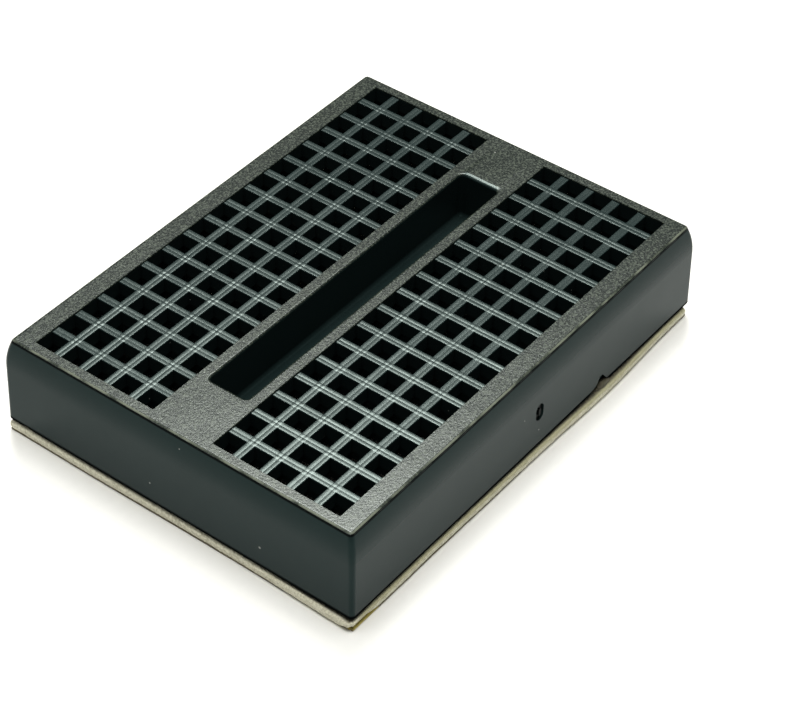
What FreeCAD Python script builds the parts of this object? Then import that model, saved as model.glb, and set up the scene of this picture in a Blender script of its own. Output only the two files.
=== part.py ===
import FreeCAD, Part
import math
import os
import Sketcher

# Mini solderless breadboard with a self-adhesive foam base.
#
# A moulded housing carries two banks of square tie points, seventeen columns
# of five in each bank, on either side of a blind centre trough.  Under every
# column of five lies one sprung metal clip in its own chamber, open at the
# housing's underside.  A foam tape with adhesive on both faces closes the
# chambers, and a paper liner that peels off covers the lower adhesive.
#
# Millimetres.  +X runs along the seventeen columns, +Y from bank f-j to bank
# a-e, +Z up.  The origin is the middle of the face that the board rests on.

COLUMNS = 17
ROWS_PER_BANK = 5
BANKS = {"ae": 1, "fj": -1}

# name of the cell, value, what it measures
DIMENSIONS = [
    ("pitch", 2.54, "tie point spacing, both ways"),
    ("bank_offset", 8.89, "centre line to the middle row of a bank"),
    ("foot_length", 45.5, "housing length at its foot"),
    ("foot_width", 34.5, "housing width at its foot"),
    ("crown_length", 45.3, "housing length where its walls start to round over"),
    ("crown_width", 34.3, "housing width where its walls start to round over"),
    ("top_length", 44.3, "housing length at the top face"),
    ("top_width", 33.2, "housing width at the top face"),
    ("housing_height", 8.3, "housing height"),
    ("crown_height", 5.7, "height where the walls start to round over"),
    ("upright_round", 0.4, "radius of the four upright edges"),
    ("top_round", 0.32, "radius of the edge round the top face"),
    ("foot_round", 0.25, "radius of the edge round the foot"),
    ("opening", 1.76, "side of a square tie point"),
    ("plate_thickness", 1.4, "top plate over the clip chambers"),
    ("lattice_recess", 0.14, "ribs lie this far under the top face"),
    ("lip_chamfer", 0.04, "chamfer round each bank"),
    ("rib_round", 0.06, "radius of a rib's two upper edges"),
    ("rib_embed", 0.3, "rib ends let into the housing"),
    ("chamber_width", 2.0, "clip chamber, along the board"),
    ("chamber_length", 12.3, "clip chamber, across the board"),
    ("trough_length", 32.25, "centre trough, between its end walls"),
    ("trough_width", 3.8, "centre trough, between its long walls"),
    ("trough_depth", 4.3, "centre trough, down to its floor"),
    ("trough_rim_round", 0.2, "radius of the trough's rim"),
    ("trough_corner_round", 0.4, "radius of the trough's upright corners"),
    ("trough_floor_round", 0.35, "radius at the foot of the trough walls"),
    ("core_length", 30.5, "pocket under the trough floor"),
    ("core_width", 2.6, "pocket under the trough floor"),
    ("core_depth", 2.6, "pocket under the trough floor"),
    ("gate_offset", 0.73, "gate crater, along the front wall"),
    ("gate_height", 3.65, "gate crater, above the foot"),
    ("gate_half_width", 0.5, "gate crater, from its middle to its side"),
    ("gate_half_height", 0.82, "gate crater, from its middle to its end"),
    ("gate_stub_half_width", 0.14, "stub left in the crater, middle to side"),
    ("gate_stub_half_height", 0.36, "stub left in the crater, middle to end"),
    ("gate_depth", 0.22, "gate crater depth"),
    ("nick_offset", 9.25, "nick in the foot of the front wall, its middle"),
    ("nick_width", 2.5, "nick width at the foot"),
    ("nick_height", 1.25, "nick height"),
    ("nick_depth", 0.35, "nick depth into the wall"),
    ("chip_offset", 15.1, "chip in the foot of the left wall, its middle"),
    ("chip_width", 1.3, "chip width at the foot"),
    ("chip_height", 0.42, "chip height"),
    ("chip_depth", 0.2, "chip depth into the wall"),
    ("clip_thickness", 0.25, "clip strip thickness"),
    ("clip_half", 0.92, "half the clip's width at its base"),
    ("clip_knee_height", 2.6, "where the leaves start to lean in"),
    ("clip_throat_half", 0.06, "half the gap at the contact line"),
    ("clip_throat_height", 4.9, "height of the contact line"),
    ("clip_mouth_half", 0.8, "half the clip's width at its mouth"),
    ("clip_height", 6.3, "clip height"),
    ("finger_width", 1.9, "one finger, across the board"),
    ("finger_root", 1.1, "height where the finger slots start"),
    ("tape_length", 44.9, "foam tape length"),
    ("tape_width", 34.3, "foam tape width"),
    ("tape_shift_x", -0.2, "tape's middle, along the board"),
    ("tape_shift_y", -0.05, "tape's middle, across the board"),
    ("adhesive_thickness", 0.06, "one adhesive layer"),
    ("foam_thickness", 0.86, "foam core"),
    ("liner_thickness", 0.12, "paper liner"),
    ("liner_overhang", 0.05, "liner past the tape, all round"),
]

doc = FreeCAD.newDocument("breadboard")


def make_dimension_sheet():
    """Put every driving dimension in the sheet, with its name as alias."""
    sheet = doc.addObject("Spreadsheet::Sheet", "dims")
    for row, (name, value, meaning) in enumerate(DIMENSIONS, start=1):
        sheet.set("A%d" % row, meaning)
        sheet.set("B%d" % row, str(value))
        sheet.setAlias("B%d" % row, name)
    doc.recompute()
    return sheet


def size(name):
    """The value of one driving dimension."""
    return float(sheet.get(name))


# ---------------------------------------------------------------- sketches


def origin_feature(body, role):
    """The plane or axis of the body's own origin that has the given role."""
    for feature in body.Origin.OriginFeatures:
        if feature.Role == role:
            return feature
    raise RuntimeError("no %s in %s" % (role, body.Label))


def add_sketch(body, name, role, lift=None):
    """A sketch on one of the body's origin planes, lifted along its normal."""
    sketch = body.newObject("Sketcher::SketchObject", name)
    sketch.AttachmentSupport = [(origin_feature(body, role), "")]
    sketch.MapMode = "FlatFace"
    if lift:
        sketch.setExpression("AttachmentOffset.Base.z", lift)
    return sketch


def bind_constraint(sketch, kind, reference, expression):
    """Add a driving constraint and tie its value to the sheet."""
    value = float(sketch.evalExpression(expression))
    index = sketch.addConstraint(Sketcher.Constraint(kind, *reference, value))
    sketch.setExpression("Constraints[%d]" % index, expression)


def arc_between(start, end, corner, along):
    """The arc from start to end that meets one of them along a direction.

    Returns the arc and the number of the arc's own end that lies at start.
    """
    other = end if corner == start else start
    chord = other - corner
    normal = FreeCAD.Vector(-along.y, along.x, 0).normalize()
    radius = chord.Length ** 2 / (2 * normal.dot(chord))
    centre = corner + normal * radius
    start_angle = math.atan2(start.y - centre.y, start.x - centre.x)
    end_angle = math.atan2(end.y - centre.y, end.x - centre.x)
    turn = (end_angle - start_angle) % (2 * math.pi)
    circle = Part.Circle(centre, FreeCAD.Vector(0, 0, 1), abs(radius))
    if turn < math.pi:
        return Part.ArcOfCircle(circle, start_angle, start_angle + turn), 1
    return Part.ArcOfCircle(circle, end_angle, end_angle + 2 * math.pi - turn), 2


def draw_outline(sketch, corners, arcs=None):
    """A closed outline of straight stretches and arcs.

    Each corner is a pair of expressions on the sheet: its two coordinates.
    arcs names the stretches that are arcs, counted from the first corner, and
    for each the straight stretch beside it that it is tangent to.
    """
    arcs = arcs or {}
    points = []
    for across, up in corners:
        x = float(sketch.evalExpression(across))
        y = float(sketch.evalExpression(up))
        points.append(FreeCAD.Vector(x, y, 0))
    count = len(points)
    first = sketch.GeometryCount
    start_ends = []
    for i in range(count):
        start = points[i]
        end = points[(i + 1) % count]
        if i in arcs:
            wall = arcs[i]
            corner = start if (wall + 1) % count == i else end
            along = points[(wall + 1) % count] - points[wall]
            stretch, start_end = arc_between(start, end, corner, along)
        else:
            stretch, start_end = Part.LineSegment(start, end), 1
        sketch.addGeometry(stretch)
        start_ends.append(start_end)
    for i in range(count):
        j = (i + 1) % count
        tangent = arcs.get(i) == j or arcs.get(j) == i
        ends = (first + i, 3 - start_ends[i], first + j, start_ends[j])
        sketch.addConstraint(Sketcher.Constraint("Tangent" if tangent else "Coincident", *ends))
    for i, (across, up) in enumerate(corners):
        bind_constraint(sketch, "DistanceX", (first + i, start_ends[i]), across)
        bind_constraint(sketch, "DistanceY", (first + i, start_ends[i]), up)


def draw_rectangle(sketch, length, width, middle_x="0", middle_y="0"):
    """A rectangle about its middle, all four arguments being expressions."""
    left = "%s - %s / 2" % (middle_x, length)
    right = "%s + %s / 2" % (middle_x, length)
    low = "%s - %s / 2" % (middle_y, width)
    high = "%s + %s / 2" % (middle_y, width)
    draw_outline(sketch, [(left, low), (right, low), (right, high), (left, high)])


# ---------------------------------------------------------------- features


def add_pad(body, name, sketch, length, midplane=False):
    """Raise a sketch to a solid."""
    pad = body.newObject("PartDesign::Pad", name)
    pad.Profile = sketch
    pad.setExpression("Length", length)
    if midplane:
        pad.SideType = "Symmetric"
    doc.recompute()
    return pad


def add_pocket(body, name, sketch, depth=None, upwards=False):
    """Cut a sketch out of the solid: to a depth, or right through both ways."""
    before = body.Shape.Volume
    pocket = body.newObject("PartDesign::Pocket", name)
    pocket.Profile = sketch
    if depth:
        pocket.setExpression("Length", depth)
        pocket.Reversed = upwards
    else:
        pocket.Type = "ThroughAll"
        pocket.SideType = "Symmetric"
    doc.recompute()
    if not body.Shape.Volume < before:
        raise RuntimeError("%s cuts nothing" % name)
    return pocket


def repeat(body, name, original, role, spacing, count):
    """Repeat a feature along one origin axis of its body."""
    pattern = body.newObject("PartDesign::LinearPattern", name)
    pattern.Originals = [original]
    pattern.Direction = (origin_feature(body, role), [""])
    pattern.Mode = "Spacing"
    pattern.Occurrences = count
    pattern.setExpression("Offset", spacing)
    body.Tip = pattern
    doc.recompute()
    return pattern


def edge_names(shape, test):
    """Names of the edges whose end heights and middle pass the test."""
    names = []
    for number, edge in enumerate(shape.Edges, start=1):
        heights = [vertex.Z for vertex in edge.Vertexes]
        middle = edge.valueAt((edge.FirstParameter + edge.LastParameter) / 2)
        if test(heights, middle):
            names.append("Edge%d" % number)
    return names


def round_edges(body, name, base, names, radius):
    """Fillet the named edges of a feature."""
    fillet = body.newObject("PartDesign::Fillet", name)
    fillet.Base = (base, names)
    fillet.setExpression("Radius", radius)
    doc.recompute()
    return fillet


def chamfer_edges(body, name, base, names, chamfer_size):
    """Chamfer the named edges of a feature evenly."""
    chamfer = body.newObject("PartDesign::Chamfer", name)
    chamfer.Base = (base, names)
    chamfer.setExpression("Size", chamfer_size)
    doc.recompute()
    return chamfer


def is_level(heights, level):
    """True when every end of an edge lies at one height."""
    return all(math.isclose(height, level, abs_tol=1e-4) for height in heights)


# ----------------------------------------------------------------- housing

# a bank of tie points, from the outer side of one edge opening to the other
BANK_LENGTH = "(dims.pitch * %d + dims.opening)" % (COLUMNS - 1)
BANK_WIDTH = "(dims.pitch * %d + dims.opening)" % (ROWS_PER_BANK - 1)


def add_housing_block(body):
    """The outer block: drafted walls that round over to the top face."""
    end = add_sketch(body, "end_profile", "XZ_Plane")
    draw_outline(end, [
        ("-dims.foot_length / 2", "0"),
        ("dims.foot_length / 2", "0"),
        ("dims.crown_length / 2", "dims.crown_height"),
        ("dims.top_length / 2", "dims.housing_height"),
        ("-dims.top_length / 2", "dims.housing_height"),
        ("-dims.crown_length / 2", "dims.crown_height"),
    ], arcs={2: 1, 4: 5})
    add_pad(body, "housing_block", end, "dims.foot_width", midplane=True)

    trim = add_sketch(body, "side_trim", "YZ_Plane")
    for sign in ("", "-"):
        draw_outline(trim, [
            (sign + "dims.foot_width / 2", "0"),
            (sign + "dims.crown_width / 2", "dims.crown_height"),
            (sign + "dims.top_width / 2", "dims.housing_height"),
            (sign + "dims.foot_width / 2", "dims.housing_height"),
        ], arcs={1: 0})
    walls = add_pocket(body, "side_walls", trim)

    def is_upright(z, middle):
        return abs(z[0] - z[1]) > 1

    top = size("housing_height")
    uprights = edge_names(walls.Shape, is_upright)
    rounded = round_edges(body, "upright_edges", walls, uprights, "dims.upright_round")
    top_edges = edge_names(rounded.Shape, lambda z, middle: is_level(z, top))
    rounded = round_edges(body, "top_edges", rounded, top_edges, "dims.top_round")
    foot_edges = edge_names(rounded.Shape, lambda z, middle: is_level(z, 0))
    round_edges(body, "foot_edges", rounded, foot_edges, "dims.foot_round")


def add_trough(body):
    """The blind centre trough, with rounded corners, foot and rim."""
    opening = add_sketch(body, "trough_outline", "XY_Plane", "dims.housing_height")
    draw_rectangle(opening, "dims.trough_length", "dims.trough_width")
    trough = add_pocket(body, "trough", opening, "dims.trough_depth")

    floor_level = size("housing_height") - size("trough_depth")
    inside = size("trough_length") / 2 + 0.1

    def is_corner(z, middle):
        upright = abs(z[0] - z[1]) > size("trough_depth") / 2
        return upright and abs(middle.x) < inside

    def at_floor(z, middle):
        return is_level(z, floor_level) and abs(middle.x) < inside

    corners = edge_names(trough.Shape, is_corner)
    trough = round_edges(body, "trough_corners", trough, corners, "dims.trough_corner_round")
    floor_edges = edge_names(trough.Shape, at_floor)
    trough = round_edges(body, "trough_foot", trough, floor_edges, "dims.trough_floor_round")

    top = size("housing_height")
    half_length = size("trough_length") / 2
    half_width = size("trough_width") / 2

    def is_rim(z, middle):
        inside = abs(middle.x) < half_length + 0.1 and abs(middle.y) < half_width + 0.1
        return is_level(z, top) and inside

    rim = edge_names(trough.Shape, is_rim)
    round_edges(body, "trough_rim", trough, rim, "dims.trough_rim_round")


def add_chambers(body):
    """One chamber per column of five, cut up from the foot."""
    first_column = "-dims.pitch * %d" % (COLUMNS // 2)
    depth = "dims.housing_height - dims.plate_thickness"
    for bank, side in BANKS.items():
        outline = add_sketch(body, "chamber_outline_" + bank, "XY_Plane")
        draw_rectangle(outline, "dims.chamber_width", "dims.chamber_length",
                       first_column, "%d * dims.bank_offset" % side)
        chamber = add_pocket(body, "chamber_" + bank, outline, depth, upwards=True)
        repeat(body, "chambers_" + bank, chamber, "X_Axis", "dims.pitch", COLUMNS)

    core = add_sketch(body, "core_outline", "XY_Plane")
    draw_rectangle(core, "dims.core_length", "dims.core_width")
    add_pocket(body, "trough_core", core, "dims.core_depth", upwards=True)


def add_windows(body):
    """One window per bank through the top plate, with a small chamfer round it."""
    outline = add_sketch(body, "window_outline", "XY_Plane", "dims.housing_height")
    for side in BANKS.values():
        draw_rectangle(outline, BANK_LENGTH, BANK_WIDTH, "0", "%d * dims.bank_offset" % side)
    windows = add_pocket(body, "windows", outline, "dims.plate_thickness")

    top = size("housing_height")
    inner = float(outline.evalExpression("dims.bank_offset - %s / 2" % BANK_WIDTH))
    outer = float(outline.evalExpression("dims.bank_offset + %s / 2" % BANK_WIDTH))
    reach = float(outline.evalExpression(BANK_LENGTH + " / 2"))
    slack = 0.01

    def is_rim(z, middle):
        beside = inner - slack < abs(middle.y) < outer + slack
        return is_level(z, top) and beside and abs(middle.x) < reach + slack

    rim = edge_names(windows.Shape, is_rim)
    chamfer_edges(body, "window_rims", windows, rim, "dims.lip_chamfer")


def draw_rib(sketch, middle):
    """The section of one rib: upright sides, rounded over to its flat top."""
    top = "dims.housing_height - dims.lattice_recess"
    foot = "dims.housing_height - dims.plate_thickness"
    side_top = top + " - dims.rib_round"
    half_rib = "(dims.pitch - dims.opening) / 2"
    half_top = "(%s - dims.rib_round)" % half_rib
    draw_outline(sketch, [
        ("%s - %s" % (middle, half_rib), foot),
        ("%s + %s" % (middle, half_rib), foot),
        ("%s + %s" % (middle, half_rib), side_top),
        ("%s + %s" % (middle, half_top), top),
        ("%s - %s" % (middle, half_top), top),
        ("%s - %s" % (middle, half_rib), side_top),
    ], arcs={2: 1, 4: 5})


def add_lattice(body):
    """The ribs that divide each window into square tie points."""
    rib_length = BANK_WIDTH + " + 2 * dims.rib_embed"
    first_rib = "-dims.pitch * %g" % (COLUMNS / 2 - 1)
    for bank, side in BANKS.items():
        # the XZ plane faces -Y, so a sketch is lifted against the bank's side
        across = add_sketch(body, "cross_rib_outline_" + bank, "XZ_Plane",
                            "%d * dims.bank_offset" % -side)
        draw_rib(across, first_rib)
        rib = add_pad(body, "cross_rib_" + bank, across, rib_length, midplane=True)
        repeat(body, "cross_ribs_" + bank, rib, "X_Axis", "dims.pitch", COLUMNS - 1)

    rib_length = BANK_LENGTH + " + 2 * dims.rib_embed"
    for bank, side in BANKS.items():
        first_rib = "%d * dims.bank_offset - dims.pitch * %g" % (side, ROWS_PER_BANK / 2 - 1)
        along = add_sketch(body, "long_rib_outline_" + bank, "YZ_Plane")
        draw_rib(along, first_rib)
        rib = add_pad(body, "long_rib_" + bank, along, rib_length, midplane=True)
        repeat(body, "long_ribs_" + bank, rib, "Y_Axis", "dims.pitch", ROWS_PER_BANK - 1)


def draw_oval(sketch, middle_x, middle_y, half_width, half_height):
    """An upright oval: two straight sides joined by half circles."""
    left = "%s - %s" % (middle_x, half_width)
    right = "%s + %s" % (middle_x, half_width)
    side_low = "%s - %s + %s" % (middle_y, half_height, half_width)
    side_high = "%s + %s - %s" % (middle_y, half_height, half_width)
    draw_outline(sketch, [
        (right, side_low),
        (right, side_high),
        (middle_x, "%s + %s" % (middle_y, half_height)),
        (left, side_high),
        (left, side_low),
        (middle_x, "%s - %s" % (middle_y, half_height)),
    ], arcs={1: 0, 2: 3, 4: 3, 5: 0})


def draw_break(sketch, name, steps):
    """The outline of broken-out plastic at a wall's foot.

    Each step is a pair: how far along from the middle, in widths of the
    break, and how far up, in its heights.
    """
    below_foot = "-0.1"
    corners = [("dims.%s_offset - dims.%s_width / 2" % (name, name), below_foot),
               ("dims.%s_offset + dims.%s_width / 2" % (name, name), below_foot)]
    for along, up in steps:
        corners.append(("dims.%s_offset + dims.%s_width * %g" % (name, name, along),
                        "dims.%s_height * %g" % (name, up)))
    draw_outline(sketch, corners)


def add_moulding_marks(body):
    """The gate's crater, with its stub, and two small breaks at the foot."""
    crater = add_sketch(body, "gate_outline", "XZ_Plane", "dims.foot_width / 2")
    for part in ("gate", "gate_stub"):
        draw_oval(crater, "dims.gate_offset", "dims.gate_height",
                  "dims.%s_half_width" % part, "dims.%s_half_height" % part)
    add_pocket(body, "gate_crater", crater, "dims.gate_depth")

    nick = add_sketch(body, "nick_outline", "XZ_Plane", "dims.foot_width / 2")
    draw_break(nick, "nick", [(0.42, 0.36), (0.18, 0.96), (0.02, 1), (-0.14, 0.48), (-0.46, 0.28)])
    add_pocket(body, "foot_nick", nick, "dims.nick_depth")

    chip = add_sketch(body, "chip_outline", "YZ_Plane", "-dims.foot_length / 2")
    draw_break(chip, "chip", [(0.4, 0.7), (0.15, 1), (-0.2, 0.95), (-0.42, 0.55)])
    add_pocket(body, "foot_chip", chip, "dims.chip_depth", upwards=True)


def make_housing():
    """The moulded housing, standing on the tape."""
    body = doc.addObject("PartDesign::Body", "housing")
    add_housing_block(body)
    add_trough(body)
    add_chambers(body)
    add_windows(body)
    add_lattice(body)
    add_moulding_marks(body)
    body.setExpression("Placement.Base.z", TAPE_TOP)
    return body


# ------------------------------------------------------------------- clips


def make_clip(bank, side, column):
    """One sprung clip: a folded strip with five pairs of leaves."""
    body = doc.addObject("PartDesign::Body", "clip_%s_%02d" % (bank, column))
    strip = add_sketch(body, body.Name + "_fold", "XZ_Plane")
    outside = [
        ("dims.clip_half", "0"),
        ("dims.clip_half", "dims.clip_knee_height"),
        ("dims.clip_throat_half + dims.clip_thickness", "dims.clip_throat_height"),
        ("dims.clip_mouth_half", "dims.clip_height"),
    ]
    inside = [
        ("dims.clip_mouth_half - dims.clip_thickness", "dims.clip_height"),
        ("dims.clip_throat_half", "dims.clip_throat_height"),
        ("dims.clip_half - dims.clip_thickness", "dims.clip_knee_height"),
        ("dims.clip_half - dims.clip_thickness", "dims.clip_thickness"),
    ]
    right = outside + inside
    left = [("-(%s)" % across, up) for across, up in reversed(right)]
    draw_outline(strip, right + left)
    length = "dims.pitch * %d + dims.finger_width" % (ROWS_PER_BANK - 1)
    add_pad(body, body.Name + "_strip", strip, length, midplane=True)

    slot = add_sketch(body, body.Name + "_slot_outline", "YZ_Plane")
    first_slot = "-dims.pitch * %g" % (ROWS_PER_BANK / 2 - 1)
    slot_height = "(dims.clip_height - dims.finger_root + 1)"
    draw_rectangle(slot, "(dims.pitch - dims.finger_width)", slot_height,
                   first_slot, "dims.finger_root + %s / 2" % slot_height)
    cut = add_pocket(body, body.Name + "_slot", slot)
    repeat(body, body.Name + "_slots", cut, "Y_Axis", "dims.pitch", ROWS_PER_BANK - 1)

    middle = (COLUMNS + 1) / 2
    body.setExpression("Placement.Base.x", "dims.pitch * %g" % (column - middle))
    body.setExpression("Placement.Base.y", "dims.bank_offset * %d" % side)
    body.setExpression("Placement.Base.z", TAPE_TOP)
    return body


# -------------------------------------------------------------------- tape


def make_layer(name, thickness, level, overhang="0"):
    """One flat layer of the tape, from its level up."""
    layer = doc.addObject("Part::Box", name)
    layer.setExpression("Length", "dims.tape_length + 2 * %s" % overhang)
    layer.setExpression("Width", "dims.tape_width + 2 * %s" % overhang)
    layer.setExpression("Height", thickness)
    layer.setExpression("Placement.Base.x", "dims.tape_shift_x - dims.tape_length / 2 - %s" % overhang)
    layer.setExpression("Placement.Base.y", "dims.tape_shift_y - dims.tape_width / 2 - %s" % overhang)
    layer.setExpression("Placement.Base.z", level)
    return layer


LINER_TOP = "dims.liner_thickness"
FOAM_FOOT = LINER_TOP + " + dims.adhesive_thickness"
FOAM_TOP = FOAM_FOOT + " + dims.foam_thickness"
TAPE_TOP = FOAM_TOP + " + dims.adhesive_thickness"


def make_tape():
    """The liner and the three layers of the foam tape, from the foot up."""
    return [
        make_layer("release_liner", "dims.liner_thickness", "0", "dims.liner_overhang"),
        make_layer("tape_adhesive_lower", "dims.adhesive_thickness", LINER_TOP),
        make_layer("foam_tape", "dims.foam_thickness", FOAM_FOOT),
        make_layer("tape_adhesive_upper", "dims.adhesive_thickness", FOAM_TOP),
    ]


# ------------------------------------------------------------------ output


def check_document(parts):
    """Stop if any object failed, or any part's shape is empty or invalid."""
    for item in doc.Objects:
        if "Invalid" in item.State or "Error" in item.State:
            raise RuntimeError("%s failed: %s" % (item.Name, item.State))
    for part in parts:
        if part.Shape.isNull() or not part.Shape.isValid():
            raise RuntimeError("%s has no valid shape" % part.Label)
        if len(part.Shape.Solids) != 1:
            raise RuntimeError("%s is %d solids" % (part.Label, len(part.Shape.Solids)))


def write_parts(parts):
    """Write one STEP file per part."""
    os.makedirs("parts", exist_ok=True)
    for part in parts:
        part.Shape.exportStep("parts/%s.step" % part.Label)
        box = part.Shape.BoundBox
        print("%-22s %6.2f x %5.2f x %5.2f mm, %9.3f mm3, %d faces" % (
            part.Label, box.XLength, box.YLength, box.ZLength,
            part.Shape.Volume, len(part.Shape.Faces)))


sheet = make_dimension_sheet()
parts = [make_housing()]
for bank, side in BANKS.items():
    for column in range(1, COLUMNS + 1):
        parts.append(make_clip(bank, side, column))
parts += make_tape()
doc.recompute()
check_document(parts)
write_parts(parts)
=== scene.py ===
import math

import bpy
from mathutils import Matrix, Vector, noise


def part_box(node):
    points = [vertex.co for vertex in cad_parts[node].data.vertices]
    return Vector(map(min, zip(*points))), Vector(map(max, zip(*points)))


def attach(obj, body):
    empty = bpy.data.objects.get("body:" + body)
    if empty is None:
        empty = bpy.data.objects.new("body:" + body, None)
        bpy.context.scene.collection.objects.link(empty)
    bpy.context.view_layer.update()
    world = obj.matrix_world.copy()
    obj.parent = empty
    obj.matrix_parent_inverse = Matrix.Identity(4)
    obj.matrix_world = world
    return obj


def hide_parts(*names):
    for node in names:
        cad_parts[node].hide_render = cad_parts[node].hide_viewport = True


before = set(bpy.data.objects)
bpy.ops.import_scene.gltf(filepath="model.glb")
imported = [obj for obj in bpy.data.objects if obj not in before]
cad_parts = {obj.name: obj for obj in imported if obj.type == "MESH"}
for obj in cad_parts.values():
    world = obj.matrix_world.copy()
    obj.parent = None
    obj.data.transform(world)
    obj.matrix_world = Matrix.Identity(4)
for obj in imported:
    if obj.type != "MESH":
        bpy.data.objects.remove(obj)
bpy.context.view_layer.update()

# Looks of a mini solderless breadboard on its peel-off foam tape.
#
# Metres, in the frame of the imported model: +X along the row of seventeen
# columns, +Y from bank f-j to bank a-e, +Z up, the underside of the liner at
# zero. Only the sizes named below and the materials are in millimetres.

MM = 0.001
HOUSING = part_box("housing")
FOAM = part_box("foam_tape")
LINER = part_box("release_liner")
TOP_Z = HOUSING[1].z
CENTRE = Vector((0, 0, TOP_Z))

# the housing in millimetres: its top face, its foot and its front wall
TOP = TOP_Z / MM
FOOT = HOUSING[0].z / MM
FRONT = HOUSING[0].y / MM

# the lattice of ribs: each rib's top sinks along its middle and leans
PITCH = 2.54
RIB_WIDTH = 0.78
RIB_RECESS = 0.14
RIB_RISE = 0.0079
RIB_LEAN = 0.9

# depths under the top face where one finish gives way to the next, and where a painted line of
# shade runs under the edge
TEXTURE_END = (0.11, 0.08)
LATTICE_END = (0.19, 0.16)
EDGE_SHADE_START = (0.13, 0.09)
EDGE_SHADE_END = (0.30, 0.25)
# the pale edge, partly handling wear and partly a painted highlight, ends at these depths
WEAR_AND_HIGHLIGHT_START = (0.020, 0.008)

# distance from the board's middle to the border of the top face
BORDER_X = (21.7, 21.9)
BORDER_Y = (16.15, 16.35)

# height over the foot up to which the wall is painted near-black and dull: a painted shadow along
# the gap over the foam
FOOT_SHADE_BAND = (0.34, 0.50)

# the trough's far end and the worn lip that runs along it
LIP_START = 16.22
LIP_WIDTH = 0.30
LIP_RISE = 0.037
LIP_TAIL = 5.0
LIP_SIDE = (1.5, 2.0)

# the gate's crater in the front wall, its middle above the foot
GATE_X = 0.73
GATE_Z = 3.65
GATE_RADII = (0.5, 0.82)

# pale spots on the housing, grains of dust and last a painted glint on the top face: x, y, z and
# radius
DUST_AND_GLINT_SPOTS = [
    (-22.7, 2.3, 3.2, 0.07),
    (-22.7, -8.5, 3.2, 0.10),
    (-2.3, -16.9, 8.9, 0.06),
    # a painted glint, not a grain of dust
    (20.2, 1.4, 9.4, 0.06),
]

# the tape's outline: corner radius, and spacing of its points
TAPE_CORNER = 0.08
TAPE_STEP = 0.12

# how far the knife strayed: in long waves and in small teeth
KNIFE_WAVE = 0.09
KNIFE_TEETH = 0.02

# room for the liner's fold, and how near a side a point belongs to it
FOLD_ROOM = 0.34
SIDE_REACH = 0.1

# two long swells of the tape's edge: middle, reach and height
FRONT_SWELL = (9.0, 14.0, 0.30)
LEFT_SWELL = (-17.0, 11.0, 0.26)

# the crumb in the nick: its middle from the wall and the foot, and its radii
LUMP_X = 9.95
LUMP_INSET = 0.12
LUMP_LIFT = 0.02
LUMP_RADII = (0.85, 0.30, 0.36)


# ------------------------------------------------------------------ shaders


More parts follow.
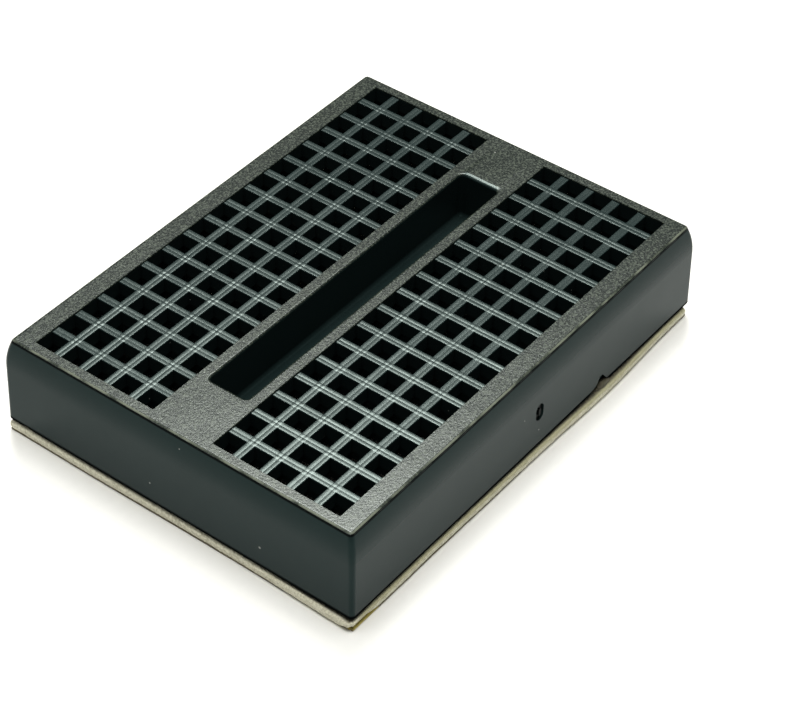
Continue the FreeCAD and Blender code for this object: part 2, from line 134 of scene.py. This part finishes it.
class Shader:
    """One material's node tree, built in small steps.

    Places are in millimetres of the piece, which are the frame's own.
    """

    def __init__(self, name):
        self.material = bpy.data.materials.new(name)
        self.material.use_nodes = True
        self.tree = self.material.node_tree
        self.tree.nodes.clear()
        self.output = self.add("ShaderNodeOutputMaterial")
        coordinates = self.add("ShaderNodeTexCoord")
        self.place = self.vector_math("SCALE", coordinates.outputs["Object"], scale=1 / MM)
        split = self.add("ShaderNodeSeparateXYZ")
        self.link(self.place, split.inputs[0])
        self.x, self.y, self.z = split.outputs

    def add(self, kind, **settings):
        """A node of one kind, with some of its settings."""
        node = self.tree.nodes.new(kind)
        for key, value in settings.items():
            setattr(node, key, value)
        return node

    def link(self, value, socket):
        """Feed a socket from an output or with a plain value."""
        if isinstance(value, bpy.types.NodeSocket):
            self.tree.links.new(value, socket)
        elif isinstance(value, tuple) and socket.type == "RGBA":
            socket.default_value = (*value, 1.0)
        else:
            socket.default_value = value

    def math(self, operation, first, second=0.0, clamp=False):
        """One arithmetic step."""
        node = self.add("ShaderNodeMath", operation=operation, use_clamp=clamp)
        self.link(first, node.inputs[0])
        self.link(second, node.inputs[1])
        return node.outputs[0]

    def times(self, first, *others):
        """The product of two or more values."""
        product = first
        for other in others:
            product = self.math("MULTIPLY", product, other)
        return product

    def invert(self, value):
        """1 where the value is 0, and 0 where it is 1."""
        return self.math("SUBTRACT", 1.0, value)

    def size(self, value):
        """A value without its sign."""
        return self.math("ABSOLUTE", value)

    def vector_math(self, operation, first, second=None, scale=None):
        """One step with vectors."""
        node = self.add("ShaderNodeVectorMath", operation=operation)
        self.link(first, node.inputs[0])
        if second is not None:
            self.link(second, node.inputs[1])
        if scale is not None:
            self.link(scale, node.inputs["Scale"])
        return node.outputs["Value" if operation == "DISTANCE" else "Vector"]

    def stretched(self, x, y, z):
        """The place, stretched along the axes, for grain that has a direction."""
        return self.vector_math("MULTIPLY", self.place, (x, y, z))

    def rise(self, value, low, high):
        """0 below low, 1 above high, and a smooth step between them."""
        node = self.add("ShaderNodeMapRange", interpolation_type="SMOOTHSTEP")
        self.link(value, node.inputs["Value"])
        self.link(low, node.inputs["From Min"])
        self.link(high, node.inputs["From Max"])
        return node.outputs[0]

    def fall(self, value, low, high):
        """1 below low, 0 above high, and a smooth step between them."""
        return self.invert(self.rise(value, low, high))

    def above_depth(self, deep, shallow):
        """1 on what lies less deep under the top face than these depths."""
        return self.rise(self.z, TOP - deep, TOP - shallow)

    def below_depth(self, deep, shallow):
        """1 on what lies deeper under the top face than these depths."""
        return self.fall(self.z, TOP - deep, TOP - shallow)

    def between(self, fac, low, high):
        """A number that runs from low to high as fac goes from 0 to 1."""
        node = self.add("ShaderNodeMapRange")
        self.link(fac, node.inputs["Value"])
        self.link(low, node.inputs["To Min"])
        self.link(high, node.inputs["To Max"])
        return node.outputs[0]

    def noise(self, grain, detail=2.0, roughness=0.5, place=None):
        """Noise whose lumps are about grain millimetres across."""
        node = self.add("ShaderNodeTexNoise")
        self.link(place or self.place, node.inputs["Vector"])
        node.inputs["Scale"].default_value = 1 / grain
        node.inputs["Detail"].default_value = detail
        node.inputs["Roughness"].default_value = roughness
        return node.outputs["Fac"]

    def cells(self, size):
        """Distance inside cells about size millimetres across."""
        node = self.add("ShaderNodeTexVoronoi")
        self.link(self.place, node.inputs["Vector"])
        node.inputs["Scale"].default_value = 1 / size
        return node.outputs["Distance"]

    def mix(self, fac, first, second):
        """Blend of two colours."""
        node = self.add("ShaderNodeMix", data_type="RGBA")
        self.link(fac, node.inputs["Factor"])
        self.link(first, node.inputs["A"])
        self.link(second, node.inputs["B"])
        return node.outputs["Result"]

    def bump(self, height, depth, under=None):
        """Normals of a relief depth millimetres deep."""
        node = self.add("ShaderNodeBump")
        self.link(height, node.inputs["Height"])
        self.link(depth * MM, node.inputs["Distance"])
        if under is not None:
            self.link(under, node.inputs["Normal"])
        return node.outputs[0]

    def finish(self, **inputs):
        """Close the tree with a Principled shader."""
        shader = self.add("ShaderNodeBsdfPrincipled")
        for key, value in inputs.items():
            self.link(value, shader.inputs[key.replace("_", " ")])
        self.link(shader.outputs[0], self.output.inputs["Surface"])
        return self.material


def moulded_plastic():
    """Black moulded plastic: eroded texture on the top face, gloss elsewhere.

    The walls and the holes keep a dull film of mould release, so they mirror
    less than the top does.
    """
    s = Shader("moulded_plastic")
    lip, worn = trough_lip(s)
    textured = s.times(s.above_depth(*TEXTURE_END), s.invert(worn))
    topside = s.above_depth(*LATTICE_END)
    # painted shadow: the wall's foot is darkened and loses its gloss
    off_foot_shade = s.rise(s.z, FOOT + FOOT_SHADE_BAND[0], FOOT + FOOT_SHADE_BAND[1])
    # the line under the top face's edge gets painted shade
    off_edge_shade = s.invert(painted_edge_shade(s))
    crater = gate_crater(s)
    grain = s.noise(0.17, detail=2.0, roughness=0.6)
    haze = s.noise(6.0, detail=3.0)

    smooth_black = s.mix(haze, (0.008, 0.016, 0.016), (0.013, 0.0225, 0.0225))
    # painted shade: near black along the foot and along the line under the top face's edge
    black = s.mix(s.times(off_foot_shade, off_edge_shade), (0.003, 0.004, 0.004), smooth_black)
    black = s.mix(crater, black, (0.002, 0.003, 0.003))
    scuffed = s.mix(s.rise(grain, 0.45, 0.66), (0.010, 0.014, 0.012), (0.054, 0.066, 0.050))
    base = s.mix(textured, black, scuffed)
    # pale rounded edge: partly handling wear, partly a painted highlight
    base = s.mix(edge_wear_and_highlight(s), base, (0.20, 0.22, 0.17))
    # pale spots: dust, and one painted glint
    base = s.mix(dust_and_glint(s), base, (0.30, 0.31, 0.29))

    smooth_roughness = s.between(haze, 0.20, 0.28)
    extra = s.math("SUBTRACT", s.between(grain, 0.16, 0.34), smooth_roughness)
    roughness = s.math("ADD", smooth_roughness, s.times(textured, extra))

    smooth_tint = s.mix(topside, (0.60, 1.0, 0.98), (0.82, 1.0, 0.96))
    tint = s.mix(textured, smooth_tint, (0.92, 1.0, 0.98))
    # the painted shade at the foot and under the edge also takes the gloss away
    gloss = s.times(s.between(topside, 0.105, 0.6), off_foot_shade,
                    s.between(off_edge_shade, 0.25, 1.0), s.between(crater, 1.0, 0.2))
    return s.finish(Base_Color=base, Roughness=roughness, Specular_Tint=tint,
                    Specular_IOR_Level=gloss, IOR=1.50,
                    Normal=plastic_relief(s, textured, grain, lip))


def plastic_relief(s, textured, grain, lip):
    """Normals of the eroded texture, the ribs, the worn lip and sink marks."""
    pits = s.cells(0.23)
    erosion = s.math("ADD", grain, s.times(pits, 0.5))
    eroded = s.bump(s.times(erosion, textured), 0.007)
    ridged = s.bump(rib_ridges(s), RIB_RISE, under=eroded)
    lipped = s.bump(lip, LIP_RISE, under=ridged)
    sink_marks = s.noise(3.5, detail=1.0)
    return s.bump(sink_marks, 0.02, under=lipped)


def near_border(s):
    """1 by the outer border of the top face and beyond."""
    return s.math("MAXIMUM", s.rise(s.size(s.x), *BORDER_X), s.rise(s.size(s.y), *BORDER_Y))


def painted_edge_shade(s):
    """1 along the line just under the rounded edge of the top face, where the wall is painted dark
    as shade.
    """
    return s.times(s.above_depth(*EDGE_SHADE_END), s.below_depth(*EDGE_SHADE_START), near_border(s))


def edge_wear_and_highlight(s):
    """1 where the rounded edge of the top face is pale: partly scuffed by handling, partly a
    painted highlight where the edge catches the light.
    """
    patchy = s.between(s.rise(s.noise(2.4, detail=2.0), 0.40, 0.58), 0.08, 0.70)
    return s.times(s.above_depth(*TEXTURE_END), s.below_depth(*WEAR_AND_HIGHLIGHT_START), near_border(s), patchy)


def gate_crater(s):
    """1 on the torn plastic of the gate's crater in the front wall."""
    along = s.math("DIVIDE", s.math("SUBTRACT", s.x, GATE_X), GATE_RADII[0])
    up = s.math("DIVIDE", s.math("SUBTRACT", s.z, FOOT + GATE_Z), GATE_RADII[1])
    away_squared = s.math("ADD", s.times(along, along), s.times(up, up))
    in_front = s.math("LESS_THAN", s.y, FRONT + 1.0)
    return s.times(s.fall(away_squared, 0.85, 1.15), in_front)


def rib_ridges(s):
    """Height of the ribs' tops, in units of the ridges' own height.

    Each rib sinks along its middle and leans a little to the front or left.
    Ribs that run across the board lie half a pitch from its middle, and the
    long ones lie on whole pitches from it.
    """
    level = TOP - RIB_RECESS
    on_lattice = s.times(s.rise(s.z, level - 0.05, level - 0.01),
                         s.fall(s.z, level + 0.03, level + 0.06))
    total = 0.0
    for place in (s.x, s.math("ADD", s.y, PITCH / 2)):
        offset = s.math("SUBTRACT", s.math("FLOORED_MODULO", place, PITCH), PITCH / 2)
        across = s.math("DIVIDE", offset, RIB_WIDTH / 2)
        across = s.math("MAXIMUM", s.math("MINIMUM", across, 1.0), -1.0)
        ridges = s.math("SINE", s.times(s.size(across), math.pi))
        height = s.math("ADD", ridges, s.times(across, RIB_LEAN))
        total = s.math("ADD", height, total)
    uneven = s.between(s.noise(2.2, detail=1.0), 0.55, 1.35)
    return s.times(total, uneven, on_lattice)


def trough_lip(s):
    """Height of the worn lip at the trough's far end, and where it is worn."""
    along = s.math("SUBTRACT", s.x, LIP_START)
    beside = s.fall(s.size(s.y), *LIP_SIDE)
    climb = s.math("DIVIDE", along, LIP_WIDTH, clamp=True)
    descent = s.fall(along, LIP_WIDTH, LIP_TAIL)
    height = s.times(climb, descent, beside)
    within = s.times(s.rise(along, -0.2, 0.0), s.fall(along, LIP_WIDTH - 0.05, LIP_WIDTH + 0.1))
    return height, s.times(within, beside)


def dust_and_glint(s):
    """1 on the few grains of dust that stick to the housing, and on one painted glint on the top
    face.
    """
    total = s.fall(s.cells(2.6), 0.016, 0.028)
    for x, y, z, radius in DUST_AND_GLINT_SPOTS:
        away = s.vector_math("DISTANCE", s.place, (x, y, z))
        grain = s.fall(away, radius * 0.6, radius * 1.3)
        total = s.math("MAXIMUM", total, grain)
    return total


def spring_metal():
    """Plated phosphor bronze strip with rolling lines and light tarnish."""
    s = Shader("spring_metal")
    lines = s.noise(0.08, detail=2.0, place=s.stretched(1.0, 0.06, 1.0))
    tarnish = s.noise(1.4, detail=4.0)
    base = s.mix(s.rise(tarnish, 0.45, 0.75), (0.34, 0.32, 0.29), (0.17, 0.15, 0.11))
    return s.finish(Base_Color=base, Roughness=s.between(lines, 0.18, 0.42), Metallic=1.0,
                    Normal=s.bump(lines, 0.006))


def foam():
    """Cream closed-cell foam, mottled; its upper half is tan except on the left side.

    Its top is painted dark where it meets the housing: a painted shadow under the housing's foot.
    """
    s = Shader("foam")
    low, high = FOAM[0].z / MM, FOAM[1].z / MM
    left = FOAM[0].x / MM
    mottle = s.noise(0.55, detail=4.0, roughness=0.65)
    cell = s.cells(0.16)
    cream = s.mix(mottle, (0.92, 0.89, 0.74), (0.68, 0.67, 0.50))
    tan = s.mix(mottle, (0.62, 0.60, 0.41), (0.42, 0.42, 0.26))
    wavy_height = s.math("ADD", s.z, s.times(s.noise(1.8, detail=2.0), 0.3))
    # darker tan over the upper half, away from the left side
    upper_tan = s.times(s.rise(wavy_height, low + 0.56, low + 0.74), s.rise(s.x, left + 0.3, left + 1.2))
    base = s.mix(upper_tan, cream, tan)
    # painted shadow: dark brown along the top, where the foam meets the housing
    base = s.mix(s.rise(s.z, high - 0.16, high - 0.04), base, (0.07, 0.065, 0.05))
    base = s.mix(s.times(s.rise(cell, 0.45, 0.75), 0.35), base, (0.30, 0.27, 0.17))
    return s.finish(Base_Color=base, Roughness=0.92, Normal=s.bump(cell, 0.05),
                    Specular_IOR_Level=0.25)


def adhesive():
    """Acrylic adhesive film, amber and slightly tacky."""
    s = Shader("adhesive")
    smear = s.noise(1.2, detail=4.0)
    base = s.mix(smear, (0.42, 0.35, 0.07), (0.30, 0.25, 0.09))
    return s.finish(Base_Color=base, Roughness=s.between(smear, 0.25, 0.5),
                    Normal=s.bump(smear, 0.02))


def grime():
    """Adhesive that has picked up dirt, brown and grey."""
    s = Shader("grime")
    mottle = s.noise(0.35, detail=4.0, roughness=0.7)
    base = s.mix(mottle, (0.15, 0.135, 0.085), (0.025, 0.023, 0.017))
    return s.finish(Base_Color=base, Roughness=s.between(mottle, 0.5, 0.8),
                    Normal=s.bump(mottle, 0.08))


def liner_paper():
    """Brown kraft paper; adhesive is left on it where the foam is torn."""
    s = Shader("liner_paper")
    fibre = s.noise(0.25, detail=5.0, roughness=0.7, place=s.stretched(0.35, 1.0, 1.0))
    cloud = s.noise(5.0, detail=3.0)
    base = s.mix(fibre, (0.15, 0.12, 0.065), (0.24, 0.20, 0.12))
    base = s.mix(s.times(cloud, 0.5), base, (0.21, 0.18, 0.12))
    left, front, underside = (place / MM for place in LINER[0])
    tear = (left + 1.6, front, LINER[1].z / MM)
    from_tear = s.vector_math("DISTANCE", s.place, tear)
    off_underside = s.rise(s.z, underside + 0.01, underside + 0.03)
    glue_left = s.times(off_underside, s.fall(from_tear, 1.2, 1.7))
    base = s.mix(glue_left, base, (0.62, 0.52, 0.14))
    return s.finish(Base_Color=base, Roughness=s.between(fibre, 0.45, 0.7),
                    Normal=s.bump(fibre, 0.02))


def paper_floor():
    """White paper backdrop."""
    s = Shader("paper_floor")
    fibre = s.noise(0.8, detail=3.0)
    base = s.mix(fibre, (0.86, 0.86, 0.85), (0.90, 0.90, 0.89))
    return s.finish(Base_Color=base, Roughness=0.9, Specular_IOR_Level=0.2)


# ------------------------------------------------------------------- meshes


def new_piece(name, points, faces, material, smooth=True):
    """A mesh object from points in metres and faces."""
    mesh = bpy.data.meshes.new(name)
    mesh.from_pydata([tuple(p) for p in points], [], faces)
    mesh.validate()
    mesh.materials.append(material)
    for polygon in mesh.polygons:
        polygon.use_smooth = smooth
    piece = bpy.data.objects.new(name, mesh)
    bpy.context.scene.collection.objects.link(piece)
    return piece


def rounded_outline(low, high, radius, step):
    """Points and outward directions round a rectangle with rounded corners."""
    corners = [(high.x - radius, low.y + radius, -90), (high.x - radius, high.y - radius, 0),
               (low.x + radius, high.y - radius, 90), (low.x + radius, low.y + radius, 180)]
    corner_steps = 4
    around = []
    for index, (x, y, start) in enumerate(corners):
        for k in range(corner_steps + 1):
            angle = math.radians(start + 90 * k / corner_steps)
            out = Vector((math.cos(angle), math.sin(angle), 0))
            around.append((Vector((x, y, 0)) + out * radius, out))
        next_x, next_y, _ = corners[(index + 1) % 4]
        first, out = around[-1]
        last = Vector((next_x, next_y, 0)) + out * radius
        count = max(1, round((last - first).length / step))
        around.extend((first.lerp(last, k / count), out) for k in range(1, count))
    return around


def band_faces(first, second, count):
    """Faces between two closed rows of count points, the first below or outside."""
    faces = []
    for k in range(count):
        after = (k + 1) % count
        faces.append((first + k, first + after, second + after, second + k))
    return faces


def slab(name, box, rows, edge, lift, material):
    """A thin slab with a worked edge.

    edge(point, t) is how far the side stands out at height t from 0 to 1, and
    lift(point) is how far the underside is raised.
    """
    low, high = box
    outline = rounded_outline(low, high, TAPE_CORNER * MM, TAPE_STEP * MM)
    count = len(outline)
    points = []
    for row in range(rows + 1):
        t = row / rows
        for place, out in outline:
            point = place + out * edge(place, t)
            bottom = low.z + lift(point)
            point.z = bottom + (high.z - bottom) * t
            points.append(point)
    faces = []
    for row in range(rows):
        faces += band_faces(row * count, (row + 1) * count, count)
    faces += cover(points, 0, count, box, lift, is_top=False)
    faces += cover(points, rows * count, count, box, lift, is_top=True)
    return new_piece(name, points, faces, material)


def cover(points, ring, count, box, lift, is_top):
    """Faces that close a slab over one ring of its side; adds their points.

    Rings that shrink towards the middle let the underside rise near its edge.
    """
    low, high = box
    middle = Vector(((low.x + high.x) / 2, (low.y + high.y) / 2, 0))
    border = points[ring:ring + count]
    faces = []
    for share in (0.985, 0.94, 0.8, 0.4):
        start = len(points)
        for p in border:
            inner = middle + (p - middle) * share
            inner.z = high.z if is_top else low.z + lift(inner)
            points.append(inner)
        faces += band_faces(ring, start, count)
        ring = start
    faces.append(tuple(range(ring, ring + count)))
    if not is_top:
        faces = [tuple(reversed(face)) for face in faces]
    return faces


def swell(along, middle, reach, most):
    """A smooth rise of the tape's edge round one place along it, in metres."""
    away = min(1.0, abs(along / MM - middle) / reach)
    return most * MM * math.cos(away * math.pi / 2) ** 2


def cut_wave(point):
    """How far the knife strayed outward at a place on the tape's edge."""
    along = point / (9 * MM)
    ragged = point / (1.1 * MM)
    return KNIFE_WAVE * MM * noise.noise(along) + KNIFE_TEETH * MM * noise.noise(ragged)


def stand_out(point):
    """Two long swells of the tape's edge, and the edge kept back by the liner's fold."""
    near = SIDE_REACH * MM
    if point.x > FOAM[1].x - near:
        return -FOLD_ROOM * MM
    if point.y < FOAM[0].y + near:
        return swell(point.x, *FRONT_SWELL)
    if point.x < FOAM[0].x + near:
        return swell(point.y, *LEFT_SWELL)
    return 0.0


def flat_underside(_point):
    """No part of the underside is raised."""
    return 0.0


def torn_underside(point):
    """The foam's torn corner: its underside rises at the near corner."""
    tear_length, tear_depth, most = 2.9 * MM, 0.9 * MM, 0.34 * MM
    along = (point.x - FOAM[0].x) / tear_length
    across = (point.y - FOAM[0].y) / tear_depth
    if along > 1 or across > 1:
        return 0.0
    return most * min(1.0, 2.2 * (1 - along)) * (1 - max(0.0, across)) ** 0.5


def foam_edge(point, t):
    """The foam's side: cut with a lean, drawn in under the housing's foot."""
    bulge = 0.13 * MM * math.sin(math.pi * t)
    lean = 0.10 * MM * (0.5 - t)
    neck = 0.78
    drawn_in = -0.30 * MM * max(0.0, (t - neck) / (1 - neck)) ** 1.5
    at = Vector((point.x, point.y, t * MM)) / (0.22 * MM)
    pores = 0.035 * MM * noise.noise(at)
    return cut_wave(point) + stand_out(point) + bulge + lean + drawn_in + pores


def upper_film_edge(point, _t):
    """The upper film stays with the foam where that is drawn in."""
    return cut_wave(point) - 0.40 * MM


def lower_film_edge(point, _t):
    """The lower film follows the foam's cut, a little inside it."""
    return cut_wave(point) + stand_out(point) - 0.12 * MM


def liner_edge(point, _t):
    """The liner was cut with the tape but strays only half as far."""
    return 0.5 * cut_wave(point)


def make_tape():
    """Foam core with an adhesive film on each face."""
    core = slab("foam_core", FOAM, 8, foam_edge, torn_underside, foam())
    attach(core, "board")
    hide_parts("foam_tape")
    glue = adhesive()
    upper = slab("adhesive_film_upper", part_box("tape_adhesive_upper"), 2, upper_film_edge,
                 flat_underside, glue)
    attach(upper, "board")
    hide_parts("tape_adhesive_upper")
    lower = slab("adhesive_film_lower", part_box("tape_adhesive_lower"), 2, lower_film_edge,
                 flat_underside, glue)
    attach(lower, "board")
    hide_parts("tape_adhesive_lower")


def make_lump():
    """A crumb of foam and adhesive squeezed into the nick of the front wall."""
    middle = Vector((LUMP_X, FRONT + LUMP_INSET, FOOT + LUMP_LIFT)) * MM
    rings, around = 8, 14
    points = []
    for i in range(rings + 1):
        tilt = math.pi * i / rings
        for k in range(around):
            turn = 2 * math.pi * k / around
            out = Vector((math.sin(tilt) * math.cos(turn), math.sin(tilt) * math.sin(turn),
                          math.cos(tilt)))
            uneven = 1 + 0.35 * noise.noise(out * 2.3)
            points.append(middle + Vector([r * MM * c * uneven for r, c in zip(LUMP_RADII, out)]))
    faces = []
    for i in range(rings):
        for k in range(around):
            a, b = i * around + k, i * around + (k + 1) % around
            faces.append((a, a + around, b + around, b))
    lump = new_piece("adhesive_lump", points, faces, grime())
    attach(lump, "board")


def make_liner():
    """The peel-off paper, a thin closed sheet."""
    sheet = slab("liner_sheet", LINER, 2, liner_edge, flat_underside, liner_paper())
    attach(sheet, "liner")
    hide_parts("release_liner")


def dress_cad_nodes():
    """Finish the nodes whose CAD shape is right."""
    plastic = moulded_plastic()
    metal = spring_metal()
    for name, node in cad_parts.items():
        if name == "housing":
            node.data.materials[0] = plastic
        elif name.startswith("clip_"):
            node.data.materials[0] = metal


# ------------------------------------------------------- floor, light, camera


def make_floor():
    """A wide sheet of white paper under the object."""
    half = 3.0
    corners = [(-half, -half, 0), (half, -half, 0), (half, half, 0), (-half, half, 0)]
    floor = new_piece("floor", corners, [(0, 1, 2, 3)], paper_floor(), smooth=False)
    floor.location.z = -0.01 * MM


def direction(azimuth, elevation):
    """The way to a place round the object; azimuth 0 is its front, -Y."""
    a, e = math.radians(azimuth), math.radians(elevation)
    return Vector((math.sin(a) * math.cos(e), -math.cos(a) * math.cos(e), math.sin(e)))


def make_softbox(name, azimuth, elevation, width, height, power, mirrored=True):
    """A soft area light that faces the object; one not mirrored leaves no glare on gloss."""
    distance = 0.9
    light = bpy.data.lights.new(name, "AREA")
    light.shape = "RECTANGLE"
    light.size = width
    light.size_y = height
    light.energy = power
    light.color = (1.0, 0.99, 0.94)
    lamp = bpy.data.objects.new(name, light)
    back = direction(azimuth, elevation)
    lamp.location = CENTRE + back * distance
    lamp.rotation_mode = "QUATERNION"
    lamp.rotation_quaternion = back.to_track_quat("Z", "Y")
    lamp.visible_glossy = mirrored
    bpy.context.scene.collection.objects.link(lamp)


def make_sky():
    """A dark room with a pale ceiling, by the sine of the elevation."""
    world = bpy.data.worlds.new("room")
    world.use_nodes = True
    tree = world.node_tree
    tree.nodes.clear()
    output = tree.nodes.new("ShaderNodeOutputWorld")
    background = tree.nodes.new("ShaderNodeBackground")
    coordinates = tree.nodes.new("ShaderNodeTexCoord")
    split = tree.nodes.new("ShaderNodeSeparateXYZ")
    ramp = tree.nodes.new("ShaderNodeValToRGB")
    stops = [(0.0, 0.02), (0.74, 0.03), (0.86, 0.9), (0.95, 1.4)]
    elements = ramp.color_ramp.elements
    elements.remove(elements[1])
    for index, (at, level) in enumerate(stops):
        stop = elements[0] if index == 0 else elements.new(at)
        stop.position = at
        stop.color = (level, level, level * 0.97, 1.0)
    tree.links.new(coordinates.outputs["Generated"], split.inputs[0])
    tree.links.new(split.outputs["Z"], ramp.inputs[0])
    tree.links.new(ramp.outputs[0], background.inputs["Color"])
    tree.links.new(background.outputs[0], output.inputs["Surface"])
    bpy.context.scene.world = world


def make_camera():
    """The viewer stands off the near corner, looking down at the board."""
    azimuth, elevation, distance = -52.3, 40.45, 0.197
    aim = CENTRE + Vector((-5.58, -8.27, 0)) * MM
    roll = 1.503
    camera = bpy.data.objects.new("camera", bpy.data.cameras.new("camera"))
    camera.data.lens = 112.19
    camera.data.sensor_width = 36.0
    camera.data.clip_start = 0.01
    camera.data.clip_end = 20.0
    camera.location = CENTRE + direction(azimuth, elevation) * distance
    look = (aim - camera.location).to_track_quat("-Z", "Y").to_matrix()
    turn = Matrix.Rotation(math.radians(roll), 3, "Z")
    camera.rotation_euler = (look @ turn).to_euler()
    bpy.context.scene.collection.objects.link(camera)
    bpy.context.scene.camera = camera


def set_picture():
    """Plain film response, so that the paper reads white."""
    bpy.context.scene.view_settings.view_transform = "Standard"


make_camera()
make_floor()
make_sky()
make_softbox("softbox", azimuth=130, elevation=60, width=0.25, height=0.34, power=5.2)
make_softbox("overhead", azimuth=0, elevation=90, width=0.45, height=0.45, power=6.7,
             mirrored=False)
set_picture()
dress_cad_nodes()
make_tape()
make_lump()
make_liner()
